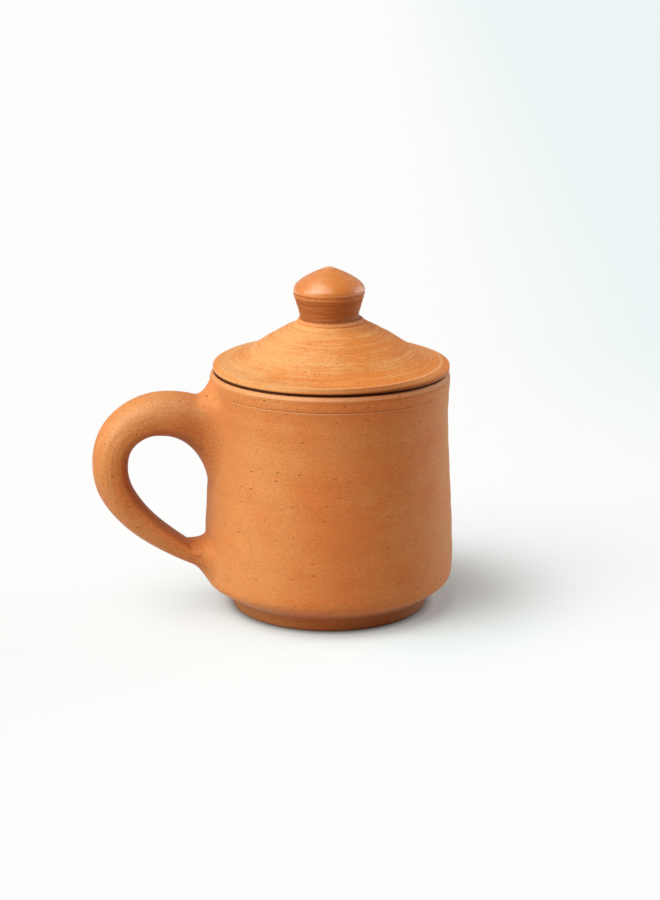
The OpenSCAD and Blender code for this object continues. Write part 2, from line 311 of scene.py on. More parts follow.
cup_outline = np.concatenate([cup_under, cup_outside[1:], cup_inside[1:]])
print(f"cup outline of {len(cup_outline)} points, {cup_outside[:, 0].max():.2f} mm at its widest")

# %% [markdown]
# The outline is carried round the axis, with faint ridges, a slightly oval mouth and a middle that bends to
# the right of the picture. A line drawn with a stick on the wheel is never quite level, so this one dips
# towards the right, and it is filled up where the handle was luted on. The rim sagged a little while it was
# wet, most at the two sides of the picture.

# %% Cup rings
TURN_COLUMNS = 256
CUP_WAVES = [(3.7, 0.006, 1, 2.3), (5.9, 0.012, -1, 1.1), (11.0, 0.05, 2, 0.4)]
CUP_CALM, WALL_MIN_R = 0.35, 40.0
CUP_BEND, CUP_SET, FOOT_SET = 0.56, 0.30, 0.35
CUP_OVAL = 0.06
LINE_DIP = 0.25
RIM_SAG, SAG_LEAN = 0.8, 0.2
SAG_FROM, SAG_TO = 70.0, 80.0
HANDLE_TURN, HANDLE_REACH = math.pi, 0.55


def rim_sag(turn):
    """How far the rim hangs at a turn round the axis: most at the two sides of the picture, where the
    squared cosine is 1, and a little more on the side away from the handle."""
    side = np.cos(turn - right_turn)
    return RIM_SAG * side ** 2 * (1 + SAG_LEAN * side)


def wall_sag(turn, z):
    """How far the wall hangs at a turn and a height: not below SAG_FROM, and as the rim above SAG_TO."""
    return rim_sag(turn) * ease(z, SAG_FROM, SAG_TO)


def cup_aside(z):
    """How far the cup's middle stands to the right of the picture at height z: it starts on the axis, sits
    a little to the left above the foot, and bends to the right with the cube of the height."""
    bend = CUP_BEND * (z / cup_h) ** 3 - CUP_SET - FOOT_SET * hump(z, 9.0, 5.0)
    return bend * ramp(z, 0.0, 10.0)


on_wall = (cup_outline[:, 1] > FOOT_TO) & (cup_outline[:, 0] > WALL_MIN_R)
radius, turn, height, along = turned(cup_outline, TURN_COLUMNS, CUP_WAVES, np.where(on_wall, 1.0, CUP_CALM))
radius = radius + CUP_OVAL * np.cos(2 * turn + 0.7) * ramp(height, 0.0, cup_h)
outer = ramp(radius, 39.5, 41.0)
near_handle = hump(turn_from(turn, HANDLE_TURN), 0.0, HANDLE_REACH)
radius = radius + near_handle * outer * hump(height, line_z, 0.6) * (band_r - 0.05 - radius)
rightward = np.cos(turn - right_turn)
dip = LINE_DIP * hump(height, line_z, 2.2) * outer * rightward
cup_rings = placed(radius, turn, height - dip - wall_sag(turn, height), cup_aside(height))
print("cup rings:", cup_rings.shape)

# %% [markdown]
# A noise can't know where the clay was handled, so each piece carries marks, a value for each point, which
# the materials read. The rub mark is a pale edge: worn on the knob, and a painted highlight on the cup, on
# the handle's ridge and on the lid's arris. Deep is redder clay, and round the handle's roots a painted glow
# of light bounced from the handle. Dark is painted shade, and also the dark joint above the knob's bead. The
# tone mark is a paler or redder tone, painted for how the light falls on the cup, the lid and the handle's
# roots; off the wall the handle is a little paler, most at the bend. Wet is where a wet finger closed its
# grain, and smear is where the handle was spread over the wall. Lay says which way the streaks run.

# %% Cup marks
CUP_SLOW = 0.09
FOOT_ALONG = 60.0


def bounce_glow_tone(turn, height):
    """How red the wall is round the handle: a painted glow of light bounced from the handle, two stripes
    beside the upper root and a patch about the lower one."""
    from_handle = np.abs(turn_from(turn, HANDLE_TURN))
    beside = 0.7 * hump(from_handle, 0.36, 0.2) * hump(height, 62.0, 24.0)
    return beside + 0.3 * hump(from_handle, 0.0, HANDLE_REACH) * hump(height, 18.0, 12.0)


def painted_light_tone(turn):
    """Painted light on the wall at a turn round the axis: paler on the left of the front, where the light
    falls, redder on its right, in the shade, and pale again on the far right, where the backdrop's light
    grazes the edge."""
    from_left = turn_from(turn, right_turn + math.pi)
    pale = 0.6 * hump(from_left, 0.75, 0.4) + 0.35 * hump(np.abs(from_left), math.pi, 0.6)
    return pale - 0.35 * hump(from_left, 1.75, 0.5)


# Painted highlights: the pale lower edge of the incised line and the lip, the bevel's pale band, painted for
# light reflected from the floor, and a pale strip on the far right of the wall, painted for the backdrop's
# light grazing the edge.
line_highlight = 0.7 * hump(height, line_z - 0.3, 0.16) * (1 - near_handle)
lip_highlight = 0.85 * hump(height, rim_h - 1.0, 0.6)
bevel_reflection = 0.12 * hump(height, bevel_top - 0.8, 1.8)
patchy = 0.75 + 0.25 * np.sin(3 * turn + 1.0)
cup_highlights = (line_highlight + lip_highlight + bevel_reflection) * np.maximum(outer, height < bevel_top + 3) * patchy
cup_highlights = cup_highlights + 0.24 * hump(turn_from(turn, right_turn), 0.0, 0.55) * outer * ease(height, 83.0, 80.0)
# Painted shade: on the foot under the bevel's overhang, more on the right, a painted contact shadow at the
# sole, the dark gap in the slot under the lid, a line under the lip and the incised groove.
on_foot = ease(height, bevel_top - 1.0, foot_h - 0.2) * (radius > 27.0) * (along < FOOT_ALONG)
foot_shade = (0.47 + 0.25 * np.clip(rightward, 0, 1)) * on_foot
sole_contact_shade = 0.45 * ramp(height, 1.7, 0.0) ** 1.5
slot_shade = ramp(radius, slot_r, slot_r - 0.35) * (radius > 37.5) * (height > rim_h - 2.3)
line_shade = 0.25 * hump(height, lip_z - 0.2, 0.4) + 0.4 * hump(height, line_z + 0.05, 0.12)
cup_shade = foot_shade + sole_contact_shade + 0.9 * slot_shade + line_shade * outer * (1 - near_handle)
cup_marks = {
    "lay": ring_lay(cup_rings, along, CUP_SLOW),
    "rub_and_highlight": cup_highlights,
    "deep": bounce_glow_tone(turn, height) * outer,
    "dark": np.clip(cup_shade, 0, 1),
    "tone_and_light": painted_light_tone(turn),
}
cup = closed_skin("cup_thrown", cup_rings, cup_marks)

# %% [markdown]
# ## The pulled handle
# A handle is pulled from a wet lump, so it tapers from a thick upper end to a thin tail. Its path is three
# cubic curves: out of the wall up to the crest, over to the place where it stands furthest out, and down to
# the tail.

# %% Handle path
CREST, OUTMOST = np.array([59.7, 71.42]), np.array([76.75, 53.7])
ROOT_TOP, ROOT_LOW = np.array([36.0, 64.6]), np.array([38.4, 15.1])
TOP_WAY, LOW_WAY = np.array([1.0, 0.24]), np.array([1.0, 0.49])
LEVEL, UP = np.eye(2)
LEVEL_PULL, OVER_PULL, DOWN_PULL = 0.42, 0.72, 0.45
STEPS = 200

rise, over, drop = CREST[0] - ROOT_TOP[0], OUTMOST[0] - CREST[0], OUTMOST[0] - ROOT_LOW[0]
spans = [
    [ROOT_TOP, ROOT_TOP + LEVEL_PULL * rise * TOP_WAY, CREST - LEVEL_PULL * rise * LEVEL, CREST],
    [CREST, CREST + LEVEL_PULL * over * LEVEL, OUTMOST + OVER_PULL * (CREST[1] - OUTMOST[1]) * UP, OUTMOST],
    [OUTMOST, OUTMOST - DOWN_PULL * (OUTMOST[1] - ROOT_LOW[1]) * UP,
     ROOT_LOW + LEVEL_PULL * drop * LOW_WAY, ROOT_LOW],
]
path = np.concatenate([bezier(span, np.arange(STEPS) / STEPS) for span in spans] + [ROOT_LOW[None]])
path_at = np.arange(len(path)) / STEPS
path_way = np.gradient(path, axis=0)
path_way /= np.linalg.norm(path_way, axis=1, keepdims=True)
path_length = np.insert(np.cumsum(np.linalg.norm(np.diff(path, axis=0), axis=1)), 0, 0.0)
print(f"handle path {path_length[-1]:.1f} mm long")

# %% [markdown]
# The section is a soft oval, arched on its outer side and flatter on its inner side, as the palm leaves it.
# Slow waves give it the facets of the fingers, and two soft ridges run along it where the thumb drew off
# the clay.

# %% Handle section
TOP_T, MID_T, TAIL_T = 18.7, 11.8, 4.2
TOP_W, TAIL_W = 19.0, 13.0
SHARES = (0.0, 0.23, 0.5, 1.0)
EARLY_POWER, LATE_POWER = 1.3, 1.6
SQUARE = 0.9
EGG = 0.22
THUMB_RIDGE, THUMB_TURN, THUMB_SHARP = 0.08, 1.0, 12


def on_path(values, g):
    """Value of a column along the path at place g, which counts the path's three spans from 0 to 3."""
    return np.interp(g, path_at, values)


def flattened(x):
    """A sine or cosine raised to SQUARE with its sign kept, which turns an ellipse into a rounded bar."""
    return np.sign(x) * np.abs(x) ** SQUARE


def thumb_ridge(a, middle, sharp):
    """Ridge of height 1 at one angle of the section: exp(sharp * (cos(a - middle) - 1))."""
    return np.exp(sharp * (np.cos(a - middle) - 1))


def handle_tube(g, a):
    """Points of the handle at place g along its path and angle a round its section, where 0 is the outer
    side. The point is the path, plus half the thickness * cos a along the outward normal, plus half the
    width * sin a sideways. Thickness runs from the top value over the middle one to the tail's, with eased
    powers. The width is scaled by 1 - EGG cos a, which arches the outer side and flattens the inner one,
    and both are scaled by the waves and the ridges of the fingers."""
    share = np.interp(g, (0, 1, 2, 3), SHARES)
    early = MID_T + (TOP_T - MID_T) * ramp(share, 0.5, 0.0) ** EARLY_POWER
    late = MID_T - (MID_T - TAIL_T) * ramp(share, 0.5, 1.0) ** LATE_POWER
    thick = np.where(share < 0.5, early, late)
    wide = TOP_W + (TAIL_W - TOP_W) * share
    along_path = on_path(path_length, g)
    fingers = 1 + 0.012 * np.cos(4 * a + 0.4) + 0.008 * np.sin(along_path / 7.0 + 2 * a)
    fingers = fingers + 0.006 * np.sin(along_path / 3.1 - 3 * a + 1.0)
    thumbs = thumb_ridge(a, THUMB_TURN, THUMB_SHARP) + thumb_ridge(a, -THUMB_TURN, THUMB_SHARP)
    fingers = fingers + THUMB_RIDGE * thumbs
    out = 0.5 * thick * flattened(np.cos(a)) * fingers
    r = on_path(path[:, 0], g) - on_path(path_way[:, 1], g) * out
    z = on_path(path[:, 1], g) + on_path(path_way[:, 0], g) * out
    across = 0.5 * wide * flattened(np.sin(a)) * (1 - EGG * np.cos(a)) * fingers
    return np.stack([-r, across, z], axis=-1)


print(f"handle section from {TOP_T} to {TAIL_T} mm thick")

# %% [markdown]
# The roots are what makes a handle look luted on. The potter smears its clay over the wall with a thumb, so
# the surface leaves the tube, turns and runs out flat on the wall. Here each line along the handle ends in
# a cubic curve that leaves along the tube and lands along the wall. The landing marks form an egg-shaped
# footprint, and a last ring and its pole lie hidden inside the wall.

# %% Handle roots
COLUMNS = 96
ROOT_ROWS = 26
LANDING, SINK = 0.05, 1.6
around = np.linspace(0.0, 2 * np.pi, COLUMNS, endpoint=False)
wall_z, wall_r = cup_outside[:, 1], cup_outside[:, 0]
outermost = (wall_z > foot_h + 0.2) & ((wall_r > slot_r + 0.3) | (wall_z < waist_z))


def wall_radius(z):
    """Radius of the cup's outside at a height, from the foot to the lip."""
    return np.interp(z, wall_z[outermost], wall_r[outermost])


def on_wall_at(y, z, depth):
    """Point on the cup's wall, y millimetres round it from the handle's plane, at height z, sunk by depth.
    Near the rim, the radius is read as far above z as the rim hangs there."""
    r = wall_radius(z + wall_sag(HANDLE_TURN - y / waist_r, z))
    x = -(r - depth) * np.cos(y / r) + cup_aside(z) * to_right[0]
    return np.stack([x, (r - depth) * np.sin(y / r) + cup_aside(z) * to_right[1], z], axis=-1)


def smeared_root(tube_end, tube_way, middle_z, outer_z, inner_z, side, pulls):
    """Rows of the smeared joint from the wall to the tube's end. The footprint's height is middle_z plus
    cos a times its reach on the outer or the inner side, and its width is side * sin a. Each column is a
    cubic curve from its landing mark, along the wall, to the tube's end, along the tube."""
    reach = np.where(np.cos(around) > 0, outer_z - middle_z, middle_z - inner_z)

    def footprint(scale, depth):
        """The footprint, scaled about its middle and sunk by depth."""
        return on_wall_at(scale * side * np.sin(around), middle_z + scale * reach * np.cos(around), depth)

    landing = footprint(1.0, LANDING)
    inward = footprint(0.97, LANDING) - landing
    inward /= np.linalg.norm(inward, axis=1, keepdims=True)
    gap = np.linalg.norm(tube_end - landing, axis=1, keepdims=True)
    wall_pull, tube_pull = (np.asarray(p)[..., None] * gap for p in pulls)
    steps = np.linspace(0.0, 1.0, ROOT_ROWS) ** 1.3
    rows = bezier([landing, landing + inward * wall_pull, tube_end + tube_way * tube_pull, tube_end], steps)
    pole = on_wall_at(np.zeros(1), np.full(1, middle_z), SINK)
    return np.concatenate([footprint(0.9, SINK)[None], rows]), pole[0]


def towards_wall(g):
    """Direction of the path at g, turned to point at the wall, as x, y and z."""
    flat = np.stack([-on_path(path_way[:, 0], g), np.zeros_like(g), on_path(path_way[:, 1], g)], axis=-1)
    return flat * np.where(g < 1.5, -1.0, 1.0)[:, None]


print("root helpers ready")

# %% [markdown]
# The tube and the two roots are put together. The tube ends on a slant: on its outer side it reaches closer
# to the wall than on its inner side.

# %% Handle rings
TUBE_ROWS = 150
TUBE_START, START_SLANT = 1.0, -0.40
TUBE_END, END_SLANT = 2.735, 0.085
TOP_ROOT = {"middle_z": 66.0, "outer_z": 83.4, "inner_z": 42.0, "side": 15.5}
LOW_ROOT = {"middle_z": 19.0, "outer_z": 9.8, "inner_z": 27.6, "side": 14.5}

outer_share = 0.5 + 0.5 * np.cos(around)
flank = np.sin(around) ** 2
g_start = TUBE_START + START_SLANT * outer_share
g_end = TUBE_END + END_SLANT * outer_share
g_rows = g_start + (g_end - g_start) * np.linspace(0.0, 1.0, TUBE_ROWS)[:, None]
tube = handle_tube(g_rows, around + 0.0 * g_rows)
top_pulls = (0.36 + 0.08 * flank, 0.38 - 0.1 * flank)
top_root, top_pole = smeared_root(tube[0], towards_wall(g_start), pulls=top_pulls, **TOP_ROOT)
low_way = towards_wall(g_end)
low_way[:, 2] *= outer_share
low_pulls = (0.32 + 0.2 * flank, 0.36)
low_root, low_pole = smeared_root(tube[-1], low_way, pulls=low_pulls, **LOW_ROOT)
handle_rings = np.concatenate([top_root[:-1], tube, low_root[::-1][1:]])
print("handle rings:", handle_rings.shape)

# %% [markdown]
# The handle's marks depend on how far a point stands off the wall. On the wall it takes the wall's own
# tones, with their painted light, so the smeared joint has no edge, and the smear mark ends the handle's
# drags there. Painted shade darkens its inner side, its front near the upper root and its outer side below
# the bend. A painted highlight runs along the ridge under the thumb, and the lower arm and the bend are a
# little paler.

# %% Handle marks
ROUND_LAY, ALONG_LAY = 5.0, 0.05
RUB_SHARP = 14
handle_z = handle_rings[..., 2]
steps_along = np.linalg.norm(np.diff(handle_rings, axis=0), axis=-1)
handle_along = np.concatenate([np.zeros((1, COLUMNS)), np.cumsum(steps_along, axis=0)])
round_x, round_y = (np.broadcast_to(ROUND_LAY * f(around), handle_z.shape) for f in (np.cos, np.sin))
lean = cup_aside(handle_z)
from_axis = np.hypot(handle_rings[..., 0] - lean * to_right[0], handle_rings[..., 1] - lean * to_right[1])
from_wall = np.maximum(from_axis - wall_radius(handle_z), 0.0)
handle_round = np.arctan2(handle_rings[..., 1], handle_rings[..., 0])
off_wall = ease(from_wall, 0.5, 10.0)
on_arm = ramp(handle_z, 30.0, 55.0)
on_bend = ramp(handle_z, 60.0, 68.0)
# Painted shade on the inner side, the front near the upper root and the outer side below the bend; a painted
# highlight along the thumb's ridge.
inner_shade = 0.55 * ramp(-np.cos(around), 0.4, 0.9) * off_wall
root_shade = 0.15 * hump(from_wall, 9.0, 5.0) * on_arm * np.clip(-np.sin(around), 0, 1)
arm_shade = 0.1 * np.clip(np.cos(around), 0, 1) * off_wall * (1 - on_bend) * on_arm
thumb_highlight = 0.3 * thumb_ridge(around, -THUMB_TURN, RUB_SHARP) * off_wall * on_bend
handle_marks = {
    "lay": np.stack([round_x, round_y, ALONG_LAY * handle_along], axis=-1),
    "rub_and_highlight": thumb_highlight + 0.1 * (1 - on_arm) * off_wall,
    "deep": bounce_glow_tone(handle_round, handle_z) * hump(from_wall, 0.0, 5.0),
    "dark": inner_shade + root_shade + arm_shade,
    "wet": 0.1 * off_wall,
    "tone_and_light": painted_light_tone(handle_round) * (1 - off_wall) + (0.1 + 0.2 * on_bend) * off_wall,
    "smear": ease(from_wall, 7.0, 0.3),
}
handle = closed_skin("handle_pulled", handle_rings, handle_marks, [top_pole, low_pole])

# %% [markdown]
# ## The thrown lid
# The lid is a shallow cone that sweeps out into a brim with a raised arris, an outer slope and a thin edge.
# Below it, a flange drops into the mouth. The cone swells a little in its middle and dips beside the knob.

# %% Lid outline
SEAT_Z = cup_h - 0.05
ARRIS_R, ARRIS_Z = lid_r - 2.4, SEAT_Z + 1.95
BRIM_IN_R, BRIM_Z = 38.0, SEAT_Z + 0.3
CROWN_R = 11.9
CONE_SLOPE = math.tan(math.radians(32.0))
CONE_SWELL, CONE_DIP = 0.28, 0.35
SWEEP_R = lid_r - 11.6
SWEEP_OUT, SWEEP_IN = 2.95, 2.7
FLANGE_R, FLANGE_IN_R = 35.7, 32.6
HOLLOW_R, HOLLOW_Z = 11.5, crown_z - 5.4

cone_foot = np.array([SWEEP_R, crown_z - (SWEEP_R - CROWN_R) * CONE_SLOPE])
arris = np.array([ARRIS_R, ARRIS_Z])
sweep_out = cone_foot + SWEEP_OUT * np.array([1, -CONE_SLOPE])
sweep_in = arris + SWEEP_IN * np.array([-1.0, 0.1])
sweep = bezier([cone_foot, sweep_out, sweep_in, arris], np.linspace(0, 1, 16))
lid_top_corners = [(AXIS_R, crown_z, 0), (CROWN_R, crown_z, 0.5)] + [(r, z, 0) for r, z in sweep[:-1]] + [
    (ARRIS_R, ARRIS_Z, 0.35),
    (lid_r - 0.4, SEAT_Z + 1.1, 0.5),
    (lid_r - 0.1, SEAT_Z + 0.75, 0.25),
    (lid_r - 0.3, SEAT_Z + 0.35, 0.15),
    (BRIM_IN_R, BRIM_Z, 0),
]
lid_under_corners = [
    (BRIM_IN_R, BRIM_Z, 0),
    (FLANGE_R, SEAT_Z + 0.2, 0.4),
    (FLANGE_R, lid_low, 1.0),
    (FLANGE_IN_R, lid_low, 1.0),
    (FLANGE_IN_R, SEAT_Z - 2.5, 2.0),
    (HOLLOW_R, HOLLOW_Z, 4.0),
    (AXIS_R, HOLLOW_Z, 0),
]
lid_top = spread(soft_outline(lid_top_corners), 210)
cone_lift = CONE_SWELL * hump(lid_top[:, 0], 22.0, 5.0) - CONE_DIP * hump(lid_top[:, 0], 13.4, 2.0)
lid_top[:, 1] += cone_lift * (lid_top[:, 1] > ARRIS_Z)
lid_under = spread(soft_outline(lid_under_corners), 60)
lid_outline = np.concatenate([lid_top, lid_under[1:]])
print(f"lid outline of {len(lid_outline)} points, {lid_outline[:, 0].max():.2f} mm at its widest")

# %% [markdown]
# The lid was set down by hand, a hair off the cup's axis, so its rings stand a little to the right of the
# picture. Its arris was turned off-centre, so the outer slope is wider on the right. The brim is slightly
# warped, and its lower edge hangs as the rim does, so the gap between them stays narrow.

# %% Lid skin
LID_WAVES = [(1.15, 0.010, 1, 0.6), (2.3, 0.018, -1, 0.0), (4.1, 0.03, 1, 1.9), (9.0, 0.05, 2, 0.3)]
LID_CALM, EDGE_ROWS = 0.3, 12
LID_OFF, ARRIS_OFF = 0.65, 0.6
BRIM_WARP = 0.12
LID_SLOW = 0.03
LID_WET = 0.3
SHADE_TURN, SHADE_WIDTH = math.radians(-65.0), math.radians(35.0)

lid_calm = np.where(np.arange(len(lid_outline)) < len(lid_top) - EDGE_ROWS, 1.0, LID_CALM)
radius, turn, height, along = turned(lid_outline, TURN_COLUMNS, LID_WAVES, lid_calm)
warp = BRIM_WARP * np.cos(2 * turn + 1.2) * ramp(radius, 30.0, 40.0)
height = height + warp * (height > SEAT_Z + 0.5)
on_top = height > SEAT_Z + 0.6
off_centre = np.interp(radius, (SWEEP_R, ARRIS_R, lid_r - 0.4), (0.0, 1.0, 0.0))
hanging = ease(height, SEAT_Z + 1.0, SEAT_Z + 0.5) * ease(radius, 36.0, 39.0)
lid_aside = LID_OFF - ARRIS_OFF * on_top * off_centre
lid_rings = placed(radius, turn, height - rim_sag(turn) * hanging, lid_aside)
rightward = np.cos(turn - right_turn)
# Painted shade darkens the front of the outer slope, the lower edge and the underside. A painted highlight
# runs along the arris, and the tone is painted paler on the left, where the light falls, and redder on the
# right.
slope_shade = 0.7 * hump(turn_from(turn, right_turn), SHADE_TURN, SHADE_WIDTH)
edge_shade = 0.45 * ease(height, SEAT_Z + 0.9, SEAT_Z + 0.4)
lid_shade = slope_shade * ramp(radius, ARRIS_R, ARRIS_R + 0.3) + edge_shade
lid_marks = {
    "lay": ring_lay(lid_rings, along, LID_SLOW),
    "rub_and_highlight": hump(radius, ARRIS_R - 0.2, 0.4) * on_top * (0.45 + 0.2 * rightward),
    "deep": 0.8 * hump(radius, CROWN_R + 1.9, 0.18) * on_top,
    "dark": np.where(height > SEAT_Z + 0.4, lid_shade, 0.95 * (radius > 36.0)),
    "wet": np.full_like(radius, LID_WET),
    "tone_and_light": -0.4 * rightward - 0.25 * np.clip(rightward, 0, 1),
}
lid = closed_skin("lid_thrown", lid_rings, lid_marks)

# %% [markdown]
# ## The knob
# The knob stands on the lid's crown: a bead of slip round its foot, a rough flank that flares out, two
# scored lines, and a burnished top that comes to a blunt tip.

# %% Knob outline
NECK_R = 10.1
BAND_Z = crown_z + 8.85
SEAM_Z = crown_z + 10.2
TIP_R = 0.5
dome = bezier(
    [[knob_r + 0.05, SEAM_Z + 0.8], [knob_r + 0.05, SEAM_Z + 3.3], [7.1, knob_top - 2.6], [TIP_R, knob_top]],
    np.linspace(0, 1, 24),
)
knob_corners = [
    (AXIS_R, crown_z - 0.6, 0),
    (11.4, crown_z - 0.6, 0),
    (11.6, crown_z + 0.25, 0.4),
    (11.0, crown_z + 0.85, 0.3),
    (10.4, crown_z + 1.1, 0.15),
    (NECK_R, crown_z + 1.35, 0.2),
    (NECK_R + 0.1, crown_z + 2.9, 1.4),
    (11.95, BAND_Z - 0.12, 0.2),
    (11.8, BAND_Z, 0.08),
    (12.1, BAND_Z + 0.12, 0.2),
    (knob_r + 0.05, SEAM_Z - 0.2, 0.15),
    (knob_r - 0.2, SEAM_Z, 0.1),
    (knob_r, SEAM_Z + 0.25, 0.2),
] + [(r, z, 0) for r, z in dome] + [(AXIS_R, knob_top, 0)]
knob_outline = spread(soft_outline(knob_corners), 190)
print(f"knob outline of {len(knob_outline)} points, {knob_outline[:, 0].max():.2f} mm at its widest")

# %% [markdown]
# The ridges are strong on the flank and almost gone on the burnished top. The seam between them isn't
# level, and the bead of slip stands a little off the knob's axis. Above the seam the clay was rubbed wet.
# Below it the clay is redder, and painted shade darkens it, most of all in the seam; a dark, ragged joint
# line runs above the bead.

# %% Knob skin
KNOB_COLUMNS = 160
KNOB_WAVES = [(0.8, 0.03, 1, 0.2), (1.5, 0.04, -1, 0.9), (3.3, 0.03, 1, 0.0)]
KNOB_CALM = 0.12
KNOB_OFF, BEAD_OFF = -0.08, 0.5
SEAM_TILT = 0.3
KNOB_SLOW = 0.07
knob_calm = np.where(knob_outline[:, 1] > SEAM_Z + 0.3, KNOB_CALM, 1.0)
radius, turn, height, along = turned(knob_outline, KNOB_COLUMNS, KNOB_WAVES, knob_calm)
rightward = np.cos(turn - right_turn)
height = height + SEAM_TILT * rightward * hump(height, SEAM_Z - 0.8, 2.5)
on_bead = ramp(height, crown_z + 1.7, crown_z + 0.8)
knob_rings = placed(radius, turn, height, KNOB_OFF + (BEAD_OFF - KNOB_OFF) * on_bead)
below_seam = ramp(height, SEAM_Z, SEAM_Z - 0.3)
below_band = ramp(height, BAND_Z, BAND_Z - 0.3)
band_rub = 0.3 * hump(height, BAND_Z + 0.3, 0.3) + 0.5 * hump(height, crown_z + 0.6, 0.4)
tip_rub = 1.5 * hump(radius, 0.0, 1.5) * (height > knob_top - 1.5)
ragged = 0.7 + 0.3 * np.sin(7 * turn) * np.sin(3 * turn + 1)
# Painted shade on the flank below the seam and the band, and in the seam; the ragged line above the bead is
# a dark joint.
knob_shade_and_joint = 0.18 * below_seam + 0.22 * below_band + 0.5 * hump(height, SEAM_Z, 0.25)
knob_shade_and_joint = knob_shade_and_joint + 0.4 * hump(height, crown_z + 1.25, 0.25) * ragged
knob_wet = 0.7 * ramp(height, SEAM_Z, SEAM_Z + 0.4)
knob_marks = {
    "lay": ring_lay(knob_rings, along, KNOB_SLOW),
    "rub_and_highlight": band_rub + tip_rub,
    "deep": 0.35 * below_seam + 0.65 * below_band * ramp(height, crown_z + 1.0, crown_z + 1.3),
    "wet": knob_wet * (1 - 0.4 * ease(rightward, 0.3, 1.0)),
    "dark": np.where(height > crown_z + 1.05, knob_shade_and_joint, 0.0),
}
knob = closed_skin("knob_turned", knob_rings, knob_marks)

# %% [markdown]
# ## Node groups for the clay
# The four pieces are the same fired clay, so what they share is built once as node groups. Small helpers
# keep them readable.

# %% Node helpers
FLOAT, COLOUR, VECTOR = "NodeSocketFloat", "NodeSocketColor", "NodeSocketVector"


def add(tree, kind, inputs=(), **options):
    """Adds a shader node. options are its own settings, and inputs maps a socket's name or number to a
    plain value or to the output socket that feeds it."""
    made = tree.nodes.new(kind)
    for name, value in options.items():
        setattr(made, name, value)
    for socket, value in dict(inputs).items():
        if isinstance(value, bpy.types.NodeSocket):
            tree.links.new(value, made.inputs[socket])
        else:
            made.inputs[socket].default_value = value
    return made


def maths(tree, operation, a, b=0.0, c=0.0, clamp=False):
    """Output of a Math node."""
    return add(tree, "ShaderNodeMath", {0: a, 1: b, 2: c}, operation=operation, use_clamp=clamp).outputs[0]


def summed(tree, parts, clamp=False):
    """Sum of several sockets, by a chain of Math nodes."""
    result = parts[0]
    for part in parts[1:-1]:
        result = maths(tree, "ADD", result, part)
    return maths(tree, "ADD", result, parts[-1], clamp=clamp)


def vectors(tree, operation, a, b, output="Vector"):
    """Output of a Vector Math node."""
    return add(tree, "ShaderNodeVectorMath", {0: a, 1: b}, operation=operation).outputs[output]


def noise(tree, place, scale, detail=2.0, **more):
    """Value of a Noise texture. more sets its other sockets by name."""
    sockets = {"Vector": place, "Scale": scale, "Detail": detail, **more}
    return add(tree, "ShaderNodeTexNoise", sockets).outputs[0]


def remap(tree, value, low, high, to_low=0.0, to_high=1.0):
    """Output of a Map Range node with smooth ends."""
    sockets = {"Value": value, "From Min": low, "From Max": high, "To Min": to_low, "To Max": to_high}
    return add(tree, "ShaderNodeMapRange", sockets, interpolation_type="SMOOTHSTEP").outputs["Result"]


def mixed(tree, factor, a, b, blend="MIX"):
    """Colour output of a Mix node."""
    sockets = {0: factor, 6: a, 7: b}
    return add(tree, "ShaderNodeMix", sockets, data_type="RGBA", blend_type=blend).outputs[2]


def new_group(name, inputs, outputs):
    """Empty node group with sockets given as name to type. Returns its tree and its inputs."""
    tree = bpy.data.node_groups.new(name, "ShaderNodeTree")
    for side, sockets in (("INPUT", inputs), ("OUTPUT", outputs)):
        for socket, kind in sockets.items():
            tree.interface.new_socket(socket, in_out=side, socket_type=kind)
    return tree, tree.nodes.new("NodeGroupInput").outputs


def empty_tree(owner):
    """Node tree of a material or a world, with nothing in it."""
    owner.use_nodes = True
    owner.node_tree.nodes.clear()
    return owner.node_tree


def use_group(tree, group, inputs):
    """Places a node group in a tree and returns its outputs."""
    return add(tree, "ShaderNodeGroup", inputs, node_tree=group).outputs


print("node helpers ready")

# %% [markdown]
# Coarse earthenware has sand in it. Turning drags out the larger grains, which leaves small dark pits,
# wider than they are high, and a few pale specks of grit stay behind. A Voronoi texture scatters both: each
# cell has one point, and the cell's random colour says whether a spot is there and how large it is. Noises
# give the rest: the grain, the sand, blotches a few millimetres wide and a slow mottle.

# %% Grit group
PER_METRE = (1000.0, 1000.0, 1000.0)
FLATTEN = (0.65, 0.65, 1.5)
SHIFT = (13.0, 7.0, 3.0)


def scattered(tree, place, per_mm, share, radius):
    """Mask of spots, at one point of each Voronoi cell that draws a number below share. radius is in cells,
    and a spot has between 0.35 and 1.35 of it."""
    cells = add(tree, "ShaderNodeTexVoronoi", {"Vector": place, "Scale": per_mm}).outputs
    draw = add(tree, "ShaderNodeSeparateColor", {0: cells["Color"]}).outputs
    size = maths(tree, "MULTIPLY_ADD", draw[1], radius, 0.35 * radius)
    spot = remap(tree, maths(tree, "DIVIDE", cells["Distance"], size), 0.55, 1.1, 1.0, 0.0)
    return maths(tree, "MULTIPLY", spot, maths(tree, "LESS_THAN", draw[0], share))


